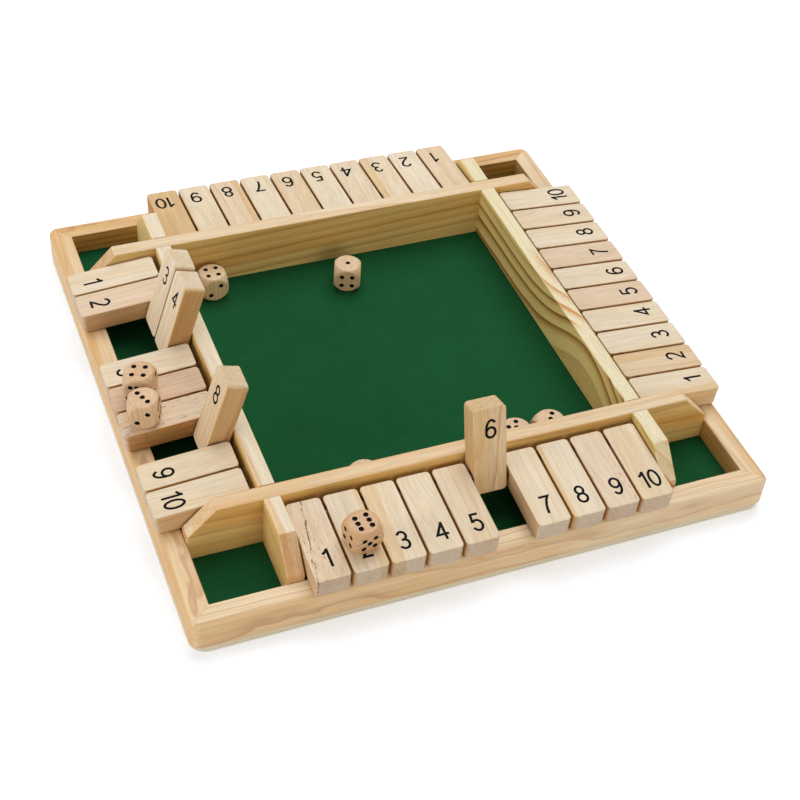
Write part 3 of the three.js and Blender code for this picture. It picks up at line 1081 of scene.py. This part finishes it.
def die_shape(sizes, half):
    """A cube with its corners turned off by a ball: flat round faces, and a soft edge round each."""
    ball = half * BALL_TO_DIE
    # The rings of points begin just inside a face's rim, at this angle from its middle, with fine steps
    inside = math.acos(half / ball) - 0.05
    fine_step, fine_steps, wide_steps = 0.02, 4, 3
    outside = inside + fine_step * fine_steps
    per_side = 14
    square = []
    for side in range(4):
        for step in range(per_side):
            slant = math.tan((-1 + 2 * step / per_side) * math.pi / 4)
            square.append(((1, slant), (-slant, 1), (-1, -slant), (slant, -1))[side])
    bm = bmesh.new()
    for outward, first, second, _ in DIE_FACES.values():
        outward, first, second = Vector(outward), Vector(first), Vector(second)
        rows = []
        for level in range(fine_steps + wide_steps + 1):
            row = []
            for u, v in square:
                around = first * u + second * v
                lift = inside + level * fine_step
                if level > fine_steps:
                    edge = outward.angle(outward + around)
                    lift = outside + (edge - outside) * (level - fine_steps) / wide_steps
                direction = outward * math.cos(lift) + around.normalized() * math.sin(lift)
                flat = min(half / max(abs(c), 1e-6) for c in direction)
                row.append(bm.verts.new(direction * blend_low(flat, ball, sizes.tumble)))
            rows.append(row)
        bm.faces.new(rows[0])
        for inner, outer in zip(rows, rows[1:]):
            for i in range(len(inner)):
                j = (i + 1) % len(inner)
                bm.faces.new((inner[i], outer[i], outer[j], inner[j]))
    bmesh.ops.remove_doubles(bm, verts=bm.verts, dist=0.002 * MM)
    bmesh.ops.recalc_face_normals(bm, faces=bm.faces)
    return bm


def pip_drills(sizes, half):
    """The balls that cut every pip of a die."""
    ball = ((sizes.pip / 2) ** 2 + sizes.pip_depth ** 2) / (2 * sizes.pip_depth)
    bm = bmesh.new()
    for outward, first, second, pips in DIE_FACES.values():
        outward, first, second = Vector(outward), Vector(first), Vector(second)
        for u, v in pips:
            centre = outward * (half + ball - sizes.pip_depth) + (first * u + second * v) * sizes.pip_spacing
            bmesh.ops.create_uvsphere(bm, u_segments=24, v_segments=24, radius=ball,
                                      matrix=axes_matrix(first, outward.cross(first), outward, centre))
    bmesh.ops.recalc_face_normals(bm, faces=bm.faces)
    return bm


class SHUTBOX_OT_dice(bpy.types.Operator):
    """Builds the eight dice with drilled and painted pips"""
    bl_idname = "shutbox.dice"
    bl_label = "Dice"

    def execute(self, context):
        sizes = context.scene.dice_sizes
        birch = tumbled_birch()
        paint = pad_ink("pip_paint", 0.4)
        low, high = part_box("die_1")
        half = (high.z - low.z) / 2
        pattern = add_piece("die", die_shape(sizes, half), birch, paint)
        cut_or_join(pattern, add_piece("drills", pip_drills(sizes, half), paint))
        draw = random.Random(3)
        for name, (top, front, look) in DICE.items():
            up, ahead = Vector(DIE_FACES[top][0]), Vector(DIE_FACES[front][0])
            rolled = Matrix((up.cross(ahead), -ahead, up))
            die = add_object(f"wooden_{name}", pattern.data.copy())
            pith = (draw.uniform(-14, 14), draw.uniform(12, 26))
            give_grain(die.data, ALONG_X, look, pith, shift=draw.uniform(0, 900), ends=0)
            die.matrix_world = die_place(name) @ rolled.to_4x4()
            set_piece(die, name, name, sharp_degrees=50)
        bpy.data.objects.remove(pattern)
        return {"FINISHED"}


WHITE = (1, 1, 1)


def white_to_camera(add, shown, lit):
    """Shows one shader to the camera, in metal and through glass, and leaves the light to the other."""
    path = add("LightPath").node.outputs
    seen = add("Math", path["Is Camera Ray"], path["Is Glossy Ray"], operation="MAXIMUM")
    seen = add("Math", seen, path["Is Transmission Ray"], operation="MAXIMUM")
    return add("MixShader", seen, lit, shown)


def matt_white_paper():
    """Matt white paper with a faint glow. Away from the board's shadow it goes over into plain white."""
    material, add, surface = new_material("matt_white_paper")
    feed(surface, {"Base Color": bpy.context.scene.game_colours.paper, "Roughness": 0.9,
                   "Specular IOR Level": 0})
    near = add("AddShader", surface.outputs[0], add("Emission", WHITE, 0.38))
    # It is all white from 0.8 m away from the middle
    away = add("VectorMath", add("TexCoord", out="Object"), operation="LENGTH")
    away = add("MapRange", away, 0.35, 0.8, interpolation_type="SMOOTHSTEP")
    shown = add("MixShader", away, near, add("Emission", WHITE, 1))
    mixed = white_to_camera(add, shown, surface.outputs[0])
    feed(material.node_tree.nodes["Material Output"], {"Surface": mixed})
    return material


class SHUTBOX_OT_stage(bpy.types.Operator):
    """Sets up the pale floor, the soft light, the white background and the camera"""
    bl_idname = "shutbox.stage"
    bl_label = "Stage, light and camera"

    def execute(self, context):
        scene = context.scene
        settings = scene.stage_settings
        bm = bmesh.new()
        bmesh.ops.create_grid(bm, x_segments=1, y_segments=1, size=4)
        add_piece("paper_floor", bm, matt_white_paper())

        scene.world = bpy.data.worlds.new("white_room")
        scene.world.use_nodes = True
        nodes = scene.world.node_tree.nodes
        feed(nodes["Background"], {"Color": (1, 0.94, 0.83), "Strength": settings.sky})
        add = partial(add_node, scene.world.node_tree)
        mixed = white_to_camera(add, add("Background", WHITE, 1), nodes["Background"].outputs[0])
        feed(nodes["World Output"], {"Surface": mixed})

        # Softboxes, as power, size, place in metres, and tint
        lamps = {"high_softbox": (settings.key, 2, (0.5, 0.85, 2), (0.91, 0.94, 1)),
                 "front_fill": (settings.front, 0.8, (0.1, -1.65, 0.45), (1, 0.89, 0.76)),
                 "left_fill": (settings.left, 0.8, (-1.65, 0, 0.45), (0.97, 0.96, 1))}
        for name, (watts, size, place, tint) in lamps.items():
            lamp = bpy.data.lights.new(name, "AREA")
            lamp.energy = watts
            lamp.color = tint
            lamp.size = size
            softbox = add_object(name, lamp)
            softbox.location = place
            softbox.rotation_euler = (-Vector(place)).to_track_quat("-Z", "Y").to_euler()

        # The photo's view
        lens = bpy.data.cameras.new("camera")
        lens.lens = 70.26
        lens.shift_x = -0.01098
        lens.shift_y = 0.00709
        camera = add_object("camera", lens)
        camera.location = (-0.2693, -0.60718, 0.61771)
        camera.rotation_euler = [math.radians(angle) for angle in (45.8217, -4.0514, -21.3494)]
        scene.camera = camera
        scene.view_settings.view_transform = "Standard"
        return {"FINISHED"}


BUILD_STEPS = (SHUTBOX_OT_base_board, SHUTBOX_OT_felt_lining, SHUTBOX_OT_outer_rails, SHUTBOX_OT_inner_walls,
               SHUTBOX_OT_hinge_rods, SHUTBOX_OT_flip_tiles, SHUTBOX_OT_numerals, SHUTBOX_OT_dice,
               SHUTBOX_OT_stage)
SETTINGS = {"board_sizes": BoardSizes, "tile_sizes": TileSizes, "dice_sizes": DiceSizes,
            "game_colours": Colours, "stage_settings": StageSettings}


class SHUTBOX_PT_panel(bpy.types.Panel):
    """Lists the steps that build the game, and their settings"""
    bl_idname = "SHUTBOX_PT_panel"
    bl_label = "Shut the Box"
    bl_space_type = "VIEW_3D"
    bl_region_type = "UI"
    bl_category = "Shut the Box"

    def draw(self, context):
        for step in BUILD_STEPS:
            self.layout.operator(step.bl_idname)
        for group in SETTINGS:
            box = self.layout.box()
            values = getattr(context.scene, group)
            for key in values.bl_rna.properties.keys():
                if key not in ("rna_type", "name"):
                    box.prop(values, key)


CLASSES = (*SETTINGS.values(), *BUILD_STEPS, SHUTBOX_PT_panel)


def register():
    """Registers the classes, and hangs the settings on the scene."""
    for item in CLASSES:
        bpy.utils.register_class(item)
    for name, group in SETTINGS.items():
        setattr(bpy.types.Scene, name, PointerProperty(type=group))


def unregister():
    """Takes back what register did."""
    for name in SETTINGS:
        delattr(bpy.types.Scene, name)
    for item in reversed(CLASSES):
        bpy.utils.unregister_class(item)


def main():
    """Builds the whole game."""
    register()
    for step in BUILD_STEPS:
        area, name = step.bl_idname.split(".")
        getattr(getattr(bpy.ops, area), name)()


if __name__ == "__main__":
    main()
